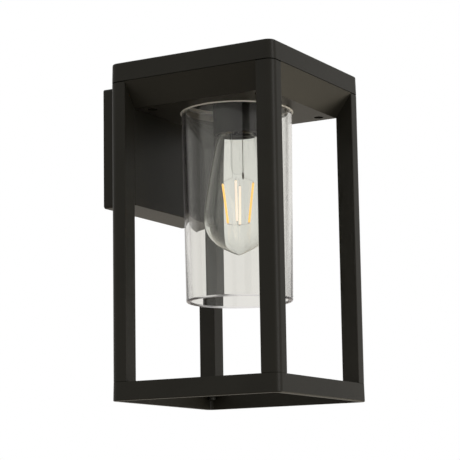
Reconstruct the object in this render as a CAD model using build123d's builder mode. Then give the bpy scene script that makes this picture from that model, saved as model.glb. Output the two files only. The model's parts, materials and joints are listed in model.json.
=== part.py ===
from build123d import *

import os
from math import cos, pi, radians, sin, sqrt

# Outdoor wall lantern: an open square frame of four posts with a clear glass tube round an E27 lamp.
# Millimetres. X runs along the wall, +Y points into the wall and +Z is up. The origin lies on the wall
# plane, at the middle of the wall box.

os.makedirs("parts", exist_ok=True)

# Lantern frame
FRAME_WIDTH = 175.0
FRAME_DEPTH = 172.0
WALL_GAP = 18.0  # from the rear posts to the wall
CENTRE_Y = -(WALL_GAP + FRAME_DEPTH / 2)
BOTTOM_Z = -237.0
FRAME_TOP_Z = -220.0  # top of the bottom frame, foot of the posts
SEAM_Z = 57.0  # joint between the posts and the canopy
TOP_Z = 75.0

# Posts: extruded square tube with a screw port in the middle
POST = 17.0
POST_CORNER = 8.0
POST_INNER_CORNER = 0.8
POST_WALL = 1.9
POST_TOP_Z = SEAM_Z - 0.3
POST_END_CHAMFER = 0.5
POST_X = (FRAME_WIDTH - POST) / 2
POST_Y = (FRAME_DEPTH - POST) / 2
PORT_RADIUS = 3.6
PORT_HOLE = 2.0
PORT_WEB = 1.4
PORT_RELIEF = 0.4  # drilled past the tip of a screw

# Bottom frame
FRAME_WALL = 4.5
FRAME_FLARE = 0.3  # how far each side leans out towards the lower edge
FRAME_EDGE = 1.0
PAD_THICKNESS = 5.0

# Canopy
CANOPY_RIM_Z = SEAM_Z + 0.3
CANOPY_DRAFT = 1.3
CANOPY_WALL = 3.0
CANOPY_TOP_RADIUS = 1.6
CANOPY_CEILING_Z = TOP_Z - 3.0
CANOPY_BOSS = 5.0
CANOPY_BOSS_Z = 56.2
CANOPY_TAP = 1.95
CANOPY_TAP_DEPTH = 12.0

# Lamp tray: the hopper-shaped pan under the canopy
TRAY_Z = 34.0
TRAY_WALL = 2.5
TRAY_EDGE = 0.6
SKIRT_WALL = 3.8  # across the sloping skirt, at its top
PLATE_WIDTH = FRAME_WIDTH - 2 * POST
PLATE_DEPTH = FRAME_DEPTH - 2 * POST
FLANGE_GAP = 0.3
FLANGE_WIDTH = FRAME_WIDTH - 2 * (CANOPY_WALL + FLANGE_GAP)
FLANGE_DEPTH = FRAME_DEPTH - 2 * (CANOPY_WALL + FLANGE_GAP)
FLANGE = 3.0
TRAY_SCREW_X = 58.0
TRAY_SCREW_Y = 57.0
TOWER_RADIUS = 6.5
TOWER_TOP_Z = 55.9
TOWER_BORE = 4.5
TOWER_LEDGE = 6.0
BOX_BOSS = 8.5  # depth of the bosses that take the box screws
WELL_RADIUS = 53.4  # recess that takes the top of the glass and its seal
WELL_DEPTH = 8.0
WELL_CEILING_Z = TRAY_Z + WELL_DEPTH
WELL_ROOF_Z = WELL_CEILING_Z + TRAY_WALL

# Wall box
BOX_WIDTH = PLATE_WIDTH
BOX_HEIGHT = 2 * POST_TOP_Z
BOX_REAR_Y = -0.5
BOX_FRONT_Y = CENTRE_Y + PLATE_DEPTH / 2
BOX_WALL = 3.0
BOX_CORNER = 2.5
BOX_EDGE = 0.6
RIM_WIDTH = 6.0
RIM_DEPTH = 3.5
SEAL_OFFSET = 2.0
SEAL_WIDTH = 2.5
SEAL_GROOVE = 2.0
BOX_INNER_Y = BOX_FRONT_Y + BOX_WALL

# Wall bracket
BRACKET_WIDTH = 120.0
BRACKET_HEIGHT = 92.0
BRACKET_CORNER = 3.0
BRACKET_STEEL = 2.0
SLOT_SPACING = 70.0
SLOT_LENGTH = 14.0
SLOT_RADIUS = 2.6
CABLE_HOLE = 12.0
EAR_X = 40.0
EAR_WIDTH = 16.0
EAR_Z = 50.0
EAR_REACH = 15.0
RETAINER_Y = -9.0

# Screws: radius of the shank, then radius and height of the head
SHANK = 1.9
HEAD_RADIUS = 3.8
HEAD_HEIGHT = 2.6
RECESS = 3.8  # across the cross recess in a head
RECESS_SLOT = 0.9
RECESS_DEPTH = 1.4
FIT_GAP = 0.1
CLEARANCE_HOLE = 2.2
CANOPY_BITE = 10.0  # length of thread in the canopy's boss
POST_TOP_SCREW = 16.0
POST_FOOT_SCREW = 18.0
BOX_SCREW = 10.0
RETAINER_BITE = 2.0  # past the underside of the bracket's ear

# Cable entry between the wall box and the tray
ENTRY_Z = 46.5
ENTRY_RADIUS = 5.0
BOX_SCREW_X = 40.0
BOX_SCREW_Z = 46.0
SIDE_SCREW_Z = 35.0
SIDE_SCREW_TIP_X = 74.8

# Socket cover and lampholder, coaxial with the glass
COVER_RADIUS = 22.0
COVER_Z = 11.0
COVER_EDGE = 3.4
COVER_BORE = 19.3
NECK_RADIUS = 20.6
NECK_TOP_Z = 50.0
NUT_RADIUS = 26.0
NUT_HEIGHT = 4.0
NUT_NOTCHES = 6
NUT_NOTCH = 2.4
HOLDER_RADIUS = 19.0
HOLDER_Z = 17.0
HOLDER_TOP_Z = 52.0
HOLDER_BORE = 14.5
HOLDER_FLOOR_Z = 44.0
HOLDER_EDGE = 0.8
HOLDER_BOSS = 5.0
HOLDER_BOSS_Z = 58.0
HOLDER_SCREW_LENGTH = 9.0
TERMINAL_X = 11.0
TERMINAL_WIDTH = 7.0
TERMINAL_DEPTH = 8.0
TERMINAL_HEIGHT = 5.0
SHELL_RADIUS = 13.6
SHELL_INSET = 2.0
SHELL_GROOVES = 6
GROOVE_RADIUS = 0.5
THREAD_PITCH = 3.62
SPRING_RADIUS = 6.0
SPRING_STEEL = 0.8

# Strap that carries the lampholder across the tray
STRAP_STEEL = 1.5
STRAP_TOP_Z = HOLDER_BOSS_Z + STRAP_STEEL
STRAP_HALF = 28.5
STRAP_FOOT = 8.0
STRAP_WIDTH = 12.0
STRAP_SCREW_X = STRAP_HALF + STRAP_FOOT / 2

# Glass tube: slightly wider at the top
GLASS_TOP_Z = 40.0
GLASS_BOTTOM_Z = -145.0
GLASS_TOP_RADIUS = 52.0
GLASS_BOTTOM_RADIUS = 49.5
GLASS_WALL = 4.0
GLASS_EDGE = 1.2
SEAL_CLEARANCE = 0.3
SEAL_INNER = GLASS_TOP_RADIUS + SEAL_CLEARANCE
SEAL_OUTER = WELL_RADIUS - FIT_GAP
SEAL_LIP_DROP = 1.0
SEAL_LIP_EDGE = 0.5

# LED filament lamp, ST64 shape with an E27 cap
BULB_TIP_Z = -100.0
CAP_RIM_Z = 15.0
CAP_SHOULDER_Z = 36.0
CAP_CREST = 13.2
CAP_CORE = 12.2
CAP_STEEL = 0.4
CAP_RIM = 2.0  # height of the plain rim below the thread
CAP_STEP = 3.0  # from the rim up to the threaded wall
CAP_BEVEL = 2.0
CAP_NECK = CAP_CREST - 3.0
CAP_THREADS = 4
CAP_THREAD_RISE = 5.0  # first groove above the rim
CAP_GROOVE = 1.4
CAP_GROOVE_SHIFT = 0.7  # centre of a groove outside the crest
INSULATOR_TIP = 5.0
CAP_CONTACT_RADIUS = 4.6
CAP_CONTACT_HEIGHT = 1.2
CAP_CONTACT_EDGE = 0.8
CONTACT_Z = 41.0
BULB_GLASS_WALL = 0.9
CAGE_TURN = 68.0  # turn of the filament cage about the lamp axis, in degrees
ENVELOPE_SHOULDER_Z = -80.0
STEM_Z = -26.0
STEM_RADIUS = 6.5
STEM_WALL = 0.8
STEM_FLANGE = 9.4
STEM_FLARE = 9.0
STEM_FOOT_Z = CAP_RIM_Z + 3.8
ARM_RADIUS = 0.3
ARM_Z = STEM_Z - 1.5
LEAD_X = 5.0
LEAD_RADIUS = 0.35
FILAMENT_TOP = (14.6, -32.5)
FILAMENT_BOTTOM = (9.8, -71.0)
FILAMENT_RADIUS = 0.95
WIRE_RADIUS = 1.1

# Terminal block, earth stud and wiring
BLOCK_Z = -17.0
BLOCK_WIDTH = 34.0
BLOCK_HEIGHT = 18.0
BLOCK_DEPTH = 13.0
BLOCK_CORNER = 1.0
POLE_PITCH = 10.5
POLE_SCREW_RISE = 9.0  # between the two screws of one pole
POLE_SCREW = 1.7
POLE_SLOT = (2.6, 0.5)
CLAMP = 6.0
CLAMP_LENGTH = 15.0
CLAMP_Y = BOX_INNER_Y + 6.0
CLAMP_MOUTH_Z = BLOCK_Z + 3.0
BLOCK_SCREW = 1.1
BLOCK_SCREW_HEAD = 2.1
BLOCK_SCREW_DEPTH = 2.0
EARTH_X = 36.0
STUD_LENGTH = 10.0
LUG_RADIUS = 4.2
LUG_STEEL = 1.0
LUG_REACH = 11.0
LUG_TAB = 3.0
WIRE_INSERT = 6.0
EARTH_WIRE_Y = BOX_INNER_Y + LUG_STEEL + WIRE_RADIUS + FIT_GAP
HOLDER_WIRE_Z = HOLDER_TOP_Z + TERMINAL_HEIGHT / 2
RISER_Y = BOX_INNER_Y + 8.0
GROMMET_FLANGE = 6.6
GROMMET_LIP = 1.2
GROMMET_SLOT = (8.0, 2.8)
GROMMET_WIRE_X = 2.4
LAMP_WIRE_STRAIGHT_Z = 8.0  # straight up out of the block to here
RISER_FOOT_Z = 30.0
ENTRY_LEAD = 12.0  # straight through the grommet, past the box
HOLDER_LEAD = 24.0  # straight into a terminal of the lampholder
LAMP_WIRE_BENDS = (24.0, 24.0, 8.0, 24.0, 24.0)
EARTH_WIRE_STRAIGHT_Z = 2.0
EARTH_WIRE_CREST_Z = 8.0
EARTH_WIRE_BENDS = (8.0, 8.0, 7.0)

LANTERN_AXIS = Axis((0, CENTRE_Y, 0), (0, 0, 1))


def level(z, x=0.0, y=0.0):
    """A horizontal plane at height z, centred on the lantern's axis."""
    return Plane(origin=(x, CENTRE_Y + y, z))


def upright(y, x=0.0, z=0.0):
    """A plane parallel to the wall; sketches have X along the wall and Y up, and extrude to the front."""
    return Plane(origin=(x, y, z), x_dir=(1, 0, 0), z_dir=(0, -1, 0))


def box_side(x):
    """A plane across the wall box at the rear posts; sketches have Y to the wall and Z up."""
    return Plane(origin=(x, CENTRE_Y + POST_Y, 0), x_dir=(0, 1, 0), z_dir=(1, 0, 0))


def section():
    """The half plane through the lantern's axis, in which a profile is drawn as (radius, height)."""
    return upright(CENTRE_Y)


def save(part, name):
    """Labels a finished piece and writes it."""
    part.label = name
    export_step(part, f"parts/{name}.step")


# ---------------------------------------------------------------------------------------------------
# Canopy, tray and frame
# ---------------------------------------------------------------------------------------------------

with BuildPart() as canopy:
    with BuildSketch(level(CANOPY_RIM_Z)):
        RectangleRounded(FRAME_WIDTH, FRAME_DEPTH, POST_CORNER)
    extrude(amount=TOP_Z - CANOPY_RIM_Z, taper=CANOPY_DRAFT)
    fillet(canopy.faces().sort_by(Axis.Z)[-1].edges(), CANOPY_TOP_RADIUS)
    with BuildSketch(level(CANOPY_RIM_Z)):
        RectangleRounded(
            FRAME_WIDTH - 2 * CANOPY_WALL,
            FRAME_DEPTH - 2 * CANOPY_WALL,
            POST_CORNER - CANOPY_WALL,
        )
    extrude(amount=CANOPY_CEILING_Z - CANOPY_RIM_Z, taper=CANOPY_DRAFT, mode=Mode.SUBTRACT)
    with BuildSketch(level(CANOPY_BOSS_Z)):
        with GridLocations(2 * TRAY_SCREW_X, 2 * TRAY_SCREW_Y, 2, 2):
            Circle(CANOPY_BOSS)
    extrude(amount=CANOPY_CEILING_Z - CANOPY_BOSS_Z)
    with BuildSketch(level(CANOPY_BOSS_Z)):
        with GridLocations(2 * TRAY_SCREW_X, 2 * TRAY_SCREW_Y, 2, 2):
            Circle(CANOPY_TAP)
    extrude(amount=CANOPY_TAP_DEPTH, mode=Mode.SUBTRACT)
save(canopy.part, "canopy")

with BuildPart() as lamp_tray:
    # Hopper-shaped skirt and underside plate
    with BuildSketch(level(TRAY_Z)):
        Rectangle(PLATE_WIDTH, PLATE_DEPTH)
    with BuildSketch(level(POST_TOP_Z)):
        Rectangle(FRAME_WIDTH, FRAME_DEPTH)
    loft()
    fillet(lamp_tray.faces().sort_by(Axis.Z)[0].edges(), TRAY_EDGE)
    with BuildSketch(level(TRAY_Z + TRAY_WALL)):
        Rectangle(PLATE_WIDTH - 2 * TRAY_WALL, PLATE_DEPTH - 2 * TRAY_WALL)
    with BuildSketch(level(POST_TOP_Z)):
        Rectangle(FRAME_WIDTH - 2 * SKIRT_WALL, FRAME_DEPTH - 2 * SKIRT_WALL)
    loft(mode=Mode.SUBTRACT)
    # The posts stand in its corners and the wall box closes its back
    with BuildSketch(level(TRAY_Z)):
        with GridLocations(2 * POST_X, 2 * POST_Y, 2, 2):
            Rectangle(POST, POST)
        with Locations((0, POST_Y)):
            Rectangle(FRAME_WIDTH, POST)
    extrude(amount=POST_TOP_Z - TRAY_Z, mode=Mode.SUBTRACT)
    with BuildSketch(level(TRAY_Z)):
        with Locations((0, (PLATE_DEPTH - TRAY_WALL) / 2)):
            Rectangle(PLATE_WIDTH, TRAY_WALL)
    extrude(amount=POST_TOP_Z - TRAY_Z)
    # Flange that stiffens the rim, sits on the posts and locates the canopy
    with BuildSketch(level(POST_TOP_Z)):
        RectangleRounded(FLANGE_WIDTH, FLANGE_DEPTH, POST_CORNER - CANOPY_WALL - FLANGE_GAP)
        Rectangle(PLATE_WIDTH - 2 * TRAY_WALL, PLATE_DEPTH - 2 * TRAY_WALL, mode=Mode.SUBTRACT)
    extrude(amount=FLANGE)
    # Round well for the top of the glass
    with BuildSketch(level(TRAY_Z)):
        Circle(WELL_RADIUS + TRAY_WALL)
    extrude(amount=WELL_ROOF_Z - TRAY_Z)
    with BuildSketch(level(TRAY_Z)):
        Circle(WELL_RADIUS)
    extrude(amount=WELL_DEPTH, mode=Mode.SUBTRACT)
    with BuildSketch(level(TRAY_Z)):
        Circle(NECK_RADIUS + FIT_GAP)
        with GridLocations(2 * STRAP_SCREW_X, 1, 2, 1):
            Circle(PORT_HOLE)
    extrude(amount=WELL_ROOF_Z - TRAY_Z, mode=Mode.SUBTRACT)
    # Screw towers for the four canopy screws
    with BuildSketch(level(TRAY_Z + TRAY_WALL / 2)):
        with GridLocations(2 * TRAY_SCREW_X, 2 * TRAY_SCREW_Y, 2, 2):
            Circle(TOWER_RADIUS)
    extrude(amount=TOWER_TOP_Z - TRAY_Z - TRAY_WALL / 2)
    # Bosses behind the rear wall for the two box screws
    with BuildSketch(upright(BOX_FRONT_Y, z=BOX_SCREW_Z)):
        with GridLocations(2 * BOX_SCREW_X, 1, 2, 1):
            Circle(PORT_RADIUS)
    extrude(amount=BOX_BOSS)
    with Locations(Plane(origin=(0, CENTRE_Y, TRAY_Z), z_dir=(0, 0, -1))):
        with GridLocations(2 * TRAY_SCREW_X, 2 * TRAY_SCREW_Y, 2, 2):
            CounterBoreHole(
                radius=CLEARANCE_HOLE,
                counter_bore_radius=TOWER_BORE,
                counter_bore_depth=TOWER_TOP_Z - TRAY_Z - TOWER_LEDGE,
                depth=TOWER_TOP_Z - TRAY_Z,
            )
    # Screw holes into the posts, box screw holes and the cable entry
    with BuildSketch(level(POST_TOP_Z)):
        with GridLocations(2 * POST_X, 2 * POST_Y, 2, 2):
            Circle(CLEARANCE_HOLE)
    extrude(amount=FLANGE, mode=Mode.SUBTRACT)
    with BuildSketch(upright(BOX_FRONT_Y, z=BOX_SCREW_Z)):
        with GridLocations(2 * BOX_SCREW_X, 1, 2, 1):
            Circle(PORT_HOLE)
    extrude(amount=BOX_BOSS, mode=Mode.SUBTRACT)
    with BuildSketch(upright(BOX_FRONT_Y, z=ENTRY_Z)):
        Circle(ENTRY_RADIUS)
    extrude(amount=TRAY_WALL, mode=Mode.SUBTRACT)
save(lamp_tray.part, "lamp_tray")

# Each post has its large rounding on the corner that faces out of the lantern
POSTS = (
    ("front_left_post", -1, -1),
    ("front_right_post", 1, -1),
    ("rear_left_post", -1, 1),
    ("rear_right_post", 1, 1),
)
for post_name, side, end in POSTS:
    with BuildPart() as post:
        with BuildSketch(level(FRAME_TOP_Z, side * POST_X, end * POST_Y)):
            Rectangle(POST, POST)
            outer_corner = Vector(side * POST, end * POST)
            corners = vertices().sort_by_distance(outer_corner)
            fillet(corners[0], POST_CORNER)
            fillet(vertices().sort_by_distance(outer_corner)[2:], POST_INNER_CORNER)
        extrude(amount=POST_TOP_Z - FRAME_TOP_Z)
        chamfer(post.faces().sort_by(Axis.Z)[-1].edges(), POST_END_CHAMFER)
        chamfer(post.faces().sort_by(Axis.Z)[0].edges(), POST_END_CHAMFER)
        with BuildSketch(level(FRAME_TOP_Z, side * POST_X, end * POST_Y)):
            Rectangle(POST - 2 * POST_WALL, POST - 2 * POST_WALL)
            hollow_corner = vertices().sort_by_distance(outer_corner)
            fillet(hollow_corner[0], POST_CORNER - POST_WALL)
            Rectangle(POST, PORT_WEB, mode=Mode.SUBTRACT)
            Rectangle(PORT_WEB, POST, mode=Mode.SUBTRACT)
            Circle(PORT_RADIUS, mode=Mode.SUBTRACT)
            Circle(PORT_HOLE)
        extrude(amount=POST_TOP_Z - FRAME_TOP_Z, mode=Mode.SUBTRACT)
        if end > 0:
            # Pilot holes for the screws that come through the side of the wall box
            with BuildSketch(box_side(side * BOX_WIDTH / 2)):
                with GridLocations(1, 2 * SIDE_SCREW_Z, 1, 2):
                    Circle(PORT_HOLE)
            extrude(amount=side * (SIDE_SCREW_TIP_X - BOX_WIDTH / 2 + PORT_RELIEF), mode=Mode.SUBTRACT)
    save(post.part, post_name)

with BuildPart() as bottom_frame:
    with BuildSketch(level(BOTTOM_Z)):
        RectangleRounded(FRAME_WIDTH + 2 * FRAME_FLARE, FRAME_DEPTH + 2 * FRAME_FLARE, POST_CORNER)
    with BuildSketch(level(FRAME_TOP_Z)):
        RectangleRounded(FRAME_WIDTH, FRAME_DEPTH, POST_CORNER)
    loft()
    fillet(bottom_frame.faces().sort_by(Axis.Z)[0].edges(), FRAME_EDGE)
    with BuildSketch(level(BOTTOM_Z)):
        RectangleRounded(
            FRAME_WIDTH - 2 * FRAME_WALL, FRAME_DEPTH - 2 * FRAME_WALL, POST_CORNER - FRAME_WALL
        )
    extrude(amount=FRAME_TOP_Z - BOTTOM_Z, mode=Mode.SUBTRACT)
    with BuildSketch(level(FRAME_TOP_Z - PAD_THICKNESS)):
        with GridLocations(2 * POST_X, 2 * POST_Y, 2, 2):
            RectangleRounded(POST, POST, FRAME_EDGE)
        RectangleRounded(
            FRAME_WIDTH - FRAME_WALL,
            FRAME_DEPTH - FRAME_WALL,
            POST_CORNER - FRAME_WALL / 2,
            mode=Mode.INTERSECT,
        )
        with GridLocations(2 * POST_X, 2 * POST_Y, 2, 2):
            Circle(CLEARANCE_HOLE, mode=Mode.SUBTRACT)
    extrude(amount=PAD_THICKNESS)
save(bottom_frame.part, "bottom_frame")

# ---------------------------------------------------------------------------------------------------
# Wall box, bracket and seal
# ---------------------------------------------------------------------------------------------------

with BuildPart() as wall_box:
    with BuildSketch(upright(BOX_REAR_Y)):
        RectangleRounded(BOX_WIDTH, BOX_HEIGHT, BOX_CORNER)
    extrude(amount=BOX_REAR_Y - BOX_FRONT_Y)
    fillet(wall_box.faces().sort_by(Axis.Y)[0].edges(), BOX_EDGE)
    with BuildSketch(upright(BOX_REAR_Y)):
        Rectangle(BOX_WIDTH - 2 * BOX_WALL, BOX_HEIGHT - 2 * BOX_WALL)
    extrude(amount=BOX_REAR_Y - BOX_INNER_Y, mode=Mode.SUBTRACT)
    # Rim that meets the wall, with a groove for the seal
    with BuildSketch(upright(BOX_REAR_Y)):
        RectangleRounded(BOX_WIDTH, BOX_HEIGHT, BOX_CORNER)
        Rectangle(BOX_WIDTH - 2 * RIM_WIDTH, BOX_HEIGHT - 2 * RIM_WIDTH, mode=Mode.SUBTRACT)
    extrude(amount=RIM_DEPTH)
    with BuildSketch(upright(BOX_REAR_Y)):
        Rectangle(BOX_WIDTH - 2 * SEAL_OFFSET, BOX_HEIGHT - 2 * SEAL_OFFSET)
        Rectangle(
            BOX_WIDTH - 2 * (SEAL_OFFSET + SEAL_WIDTH),
            BOX_HEIGHT - 2 * (SEAL_OFFSET + SEAL_WIDTH),
            mode=Mode.SUBTRACT,
        )
    extrude(amount=SEAL_GROOVE, mode=Mode.SUBTRACT)
    # Front wall: cable entry and the two screws into the tray
    with BuildSketch(upright(BOX_INNER_Y, z=ENTRY_Z)):
        Circle(ENTRY_RADIUS)
    extrude(amount=BOX_WALL, mode=Mode.SUBTRACT)
    with BuildSketch(upright(BOX_INNER_Y, z=BOX_SCREW_Z)):
        with GridLocations(2 * BOX_SCREW_X, 1, 2, 1):
            Circle(CLEARANCE_HOLE)
    extrude(amount=BOX_WALL, mode=Mode.SUBTRACT)
    with BuildSketch(upright(BOX_INNER_Y, z=BLOCK_Z)):
        with GridLocations(POLE_PITCH, 1, 2, 1):
            Circle(BLOCK_SCREW + FIT_GAP)
    extrude(amount=BLOCK_SCREW_DEPTH, mode=Mode.SUBTRACT)
    # Side walls: screws into the rear posts
    with BuildSketch(box_side(0)):
        with GridLocations(1, 2 * SIDE_SCREW_Z, 1, 2):
            Circle(CLEARANCE_HOLE)
    extrude(amount=BOX_WIDTH, both=True, mode=Mode.SUBTRACT)
    # Top wall: screws down into the bracket's ears
    with BuildSketch(Plane(origin=(0, RETAINER_Y, POST_TOP_Z - BOX_WALL))):
        with GridLocations(2 * EAR_X, 1, 2, 1):
            Circle(CLEARANCE_HOLE)
    extrude(amount=BOX_WALL, mode=Mode.SUBTRACT)
save(wall_box.part, "wall_box")

with BuildPart() as wall_seal:
    seal_outer_width = BOX_WIDTH - 2 * SEAL_OFFSET
    seal_outer_height = BOX_HEIGHT - 2 * SEAL_OFFSET
    with BuildSketch(upright(0)):
        Rectangle(seal_outer_width, seal_outer_height)
        Rectangle(seal_outer_width - 2 * SEAL_WIDTH, seal_outer_height - 2 * SEAL_WIDTH, mode=Mode.SUBTRACT)
    extrude(amount=SEAL_GROOVE - BOX_REAR_Y)
save(wall_seal.part, "wall_seal")

with BuildPart() as wall_bracket:
    with BuildSketch(upright(0)):
        RectangleRounded(BRACKET_WIDTH, BRACKET_HEIGHT, BRACKET_CORNER)
        with GridLocations(2 * EAR_X, 1, 2, 1):
            Rectangle(EAR_WIDTH, 2 * EAR_Z)
        Circle(CABLE_HOLE, mode=Mode.SUBTRACT)
        with GridLocations(SLOT_SPACING, 1, 2, 1):
            SlotOverall(SLOT_LENGTH, 2 * SLOT_RADIUS, mode=Mode.SUBTRACT)
    extrude(amount=BRACKET_STEEL)
    # Ears folded forward at the top, and matching feet that locate the box at the bottom
    for ear_z in (EAR_Z - BRACKET_STEEL, -EAR_Z):
        with BuildSketch(Plane(origin=(0, 0, ear_z))):
            with Locations((-EAR_X, -EAR_REACH / 2), (EAR_X, -EAR_REACH / 2)):
                Rectangle(EAR_WIDTH, EAR_REACH)
        extrude(amount=BRACKET_STEEL)
    with BuildSketch(Plane(origin=(0, RETAINER_Y, EAR_Z - BRACKET_STEEL))):
        with GridLocations(2 * EAR_X, 1, 2, 1):
            Circle(PORT_HOLE)
    extrude(amount=BRACKET_STEEL, mode=Mode.SUBTRACT)
save(wall_bracket.part, "wall_bracket")

# ---------------------------------------------------------------------------------------------------
# Screws
# ---------------------------------------------------------------------------------------------------


def screw_places(centres, direction):
    """Planes with their origin under each screw's head and their normal pointing out of the head."""
    return [Plane(origin=centre, z_dir=direction) for centre in centres]


def lantern_corners(x, y, z):
    """Four points round the lantern's axis."""
    return [(sx * x, CENTRE_Y + sy * y, z) for sx in (-1, 1) for sy in (-1, 1)]


SCREW_SETS = {
    # name: (places under the head, direction of the head, shank length)
    "canopy_screws": (
        lantern_corners(TRAY_SCREW_X, TRAY_SCREW_Y, TOWER_TOP_Z - TOWER_LEDGE),
        (0, 0, -1),
        TOWER_LEDGE + CANOPY_BITE,
    ),
    "post_top_screws": (
        lantern_corners(POST_X, POST_Y, POST_TOP_Z + FLANGE),
        (0, 0, 1),
        POST_TOP_SCREW,
    ),
    "post_foot_screws": (
        lantern_corners(POST_X, POST_Y, FRAME_TOP_Z - PAD_THICKNESS),
        (0, 0, -1),
        POST_FOOT_SCREW,
    ),
    "box_front_screws": (
        [(sx * BOX_SCREW_X, BOX_INNER_Y, BOX_SCREW_Z) for sx in (-1, 1)],
        (0, 1, 0),
        BOX_SCREW,
    ),
    "box_side_screws_left": (
        [(-BOX_WIDTH / 2 + BOX_WALL, CENTRE_Y + POST_Y, sz * SIDE_SCREW_Z) for sz in (-1, 1)],
        (1, 0, 0),
        SIDE_SCREW_TIP_X - BOX_WIDTH / 2 + BOX_WALL,
    ),
    "box_side_screws_right": (
        [(BOX_WIDTH / 2 - BOX_WALL, CENTRE_Y + POST_Y, sz * SIDE_SCREW_Z) for sz in (-1, 1)],
        (-1, 0, 0),
        SIDE_SCREW_TIP_X - BOX_WIDTH / 2 + BOX_WALL,
    ),
    "lampholder_screw": ([(0, CENTRE_Y, STRAP_TOP_Z)], (0, 0, 1), HOLDER_SCREW_LENGTH),
    "strap_screws": (
        [(sx * STRAP_SCREW_X, CENTRE_Y, WELL_ROOF_Z + STRAP_STEEL) for sx in (-1, 1)],
        (0, 0, 1),
        STRAP_STEEL + TRAY_WALL - FIT_GAP,
    ),
    "retaining_screws": (
        [(sx * EAR_X, RETAINER_Y, POST_TOP_Z) for sx in (-1, 1)],
        (0, 0, 1),
        POST_TOP_Z - EAR_Z + BRACKET_STEEL + RETAINER_BITE,
    ),
}
for screw_name, (centres, direction, length) in SCREW_SETS.items():
    with BuildPart() as screws:
        for place in screw_places(centres, direction):
            with BuildSketch(place):
                Circle(HEAD_RADIUS)
            extrude(amount=HEAD_HEIGHT)
            with BuildSketch(place):
                Circle(SHANK)
            extrude(amount=-length)
            with BuildSketch(place.offset(HEAD_HEIGHT)):
                Rectangle(RECESS, RECESS_SLOT)
                Rectangle(RECESS_SLOT, RECESS)
            extrude(amount=-RECESS_DEPTH, mode=Mode.SUBTRACT)
    save(screws.part, screw_name)

# ---------------------------------------------------------------------------------------------------
# Glass, its seal, and the lampholder
# ---------------------------------------------------------------------------------------------------


def glass_radius(z):
    """Outer radius of the glass tube at height z."""
    share = (z - GLASS_BOTTOM_Z) / (GLASS_TOP_Z - GLASS_BOTTOM_Z)
    return GLASS_BOTTOM_RADIUS + share * (GLASS_TOP_RADIUS - GLASS_BOTTOM_RADIUS)


with BuildPart() as glass_tube:
    with BuildSketch(section()):
        with BuildLine():
            Polyline(
                (GLASS_BOTTOM_RADIUS - GLASS_WALL, GLASS_BOTTOM_Z),
                (GLASS_BOTTOM_RADIUS, GLASS_BOTTOM_Z),
                (GLASS_TOP_RADIUS, GLASS_TOP_Z),
                (GLASS_TOP_RADIUS - GLASS_WALL, GLASS_TOP_Z),
                close=True,
            )
        make_face()
        fillet(vertices(), GLASS_EDGE)
    revolve(axis=LANTERN_AXIS)
save(glass_tube.part, "glass_tube")

with BuildPart() as glass_seal:
    with BuildSketch(section()):
        with BuildLine():
            Polyline(
                (SEAL_INNER, TRAY_Z - SEAL_LIP_DROP),
                (SEAL_OUTER, TRAY_Z - SEAL_LIP_DROP),
                (SEAL_OUTER, WELL_CEILING_Z),
                (GLASS_TOP_RADIUS - GLASS_WALL, WELL_CEILING_Z),
                (GLASS_TOP_RADIUS - GLASS_WALL, GLASS_TOP_Z + SEAL_CLEARANCE),
                (SEAL_INNER, GLASS_TOP_Z + SEAL_CLEARANCE),
                close=True,
            )
        make_face()
        lip = vertices().group_by(Axis.Y)[0]
        fillet(lip, SEAL_LIP_EDGE)
    revolve(axis=LANTERN_AXIS)
save(glass_seal.part, "glass_seal")

# The cover's lower edge is rounded, and its mouth clears the lamp
COVER_LIP_Z = COVER_Z + COVER_EDGE - sqrt(COVER_EDGE**2 - (COVER_BORE - COVER_RADIUS + COVER_EDGE) ** 2)
with BuildPart() as socket_cover:
    with BuildSketch(section()):
        with BuildLine():
            RadiusArc((COVER_BORE, COVER_LIP_Z), (COVER_RADIUS, COVER_Z + COVER_EDGE), -COVER_EDGE)
            Polyline(
                (COVER_RADIUS, COVER_Z + COVER_EDGE),
                (COVER_RADIUS, WELL_CEILING_Z),
                (NECK_RADIUS, WELL_CEILING_Z),
                (NECK_RADIUS, NECK_TOP_Z),
                (COVER_BORE, NECK_TOP_Z),
                (COVER_BORE, COVER_LIP_Z),
            )
        make_face()
    revolve(axis=LANTERN_AXIS)
save(socket_cover.part, "socket_cover")

with BuildPart() as socket_nut:
    with BuildSketch(level(WELL_ROOF_Z)):
        Circle(NUT_RADIUS)
        Circle(NECK_RADIUS + FIT_GAP, mode=Mode.SUBTRACT)
        with PolarLocations(NUT_RADIUS, NUT_NOTCHES):
            Circle(NUT_NOTCH, mode=Mode.SUBTRACT)
    extrude(amount=NUT_HEIGHT)
save(socket_nut.part, "socket_nut")

with BuildPart() as lampholder_body:
    with BuildSketch(section()):
        with BuildLine():
            Polyline(
                (HOLDER_BORE, HOLDER_Z),
                (HOLDER_RADIUS, HOLDER_Z),
                (HOLDER_RADIUS, HOLDER_TOP_Z),
                (0, HOLDER_TOP_Z),
                (0, HOLDER_FLOOR_Z),
                (HOLDER_BORE, HOLDER_FLOOR_Z),
                close=True,
            )
        make_face()
    revolve(axis=LANTERN_AXIS)
    fillet(lampholder_body.edges().group_by(Axis.Z)[0], HOLDER_EDGE)
    with BuildSketch(level(HOLDER_TOP_Z)):
        Circle(HOLDER_BOSS)
    extrude(amount=HOLDER_BOSS_Z - HOLDER_TOP_Z)
    with BuildSketch(level(HOLDER_BOSS_Z)):
        Circle(PORT_HOLE)
    extrude(amount=-HOLDER_SCREW_LENGTH, mode=Mode.SUBTRACT)
save(lampholder_body.part, "lampholder_body")

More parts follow.
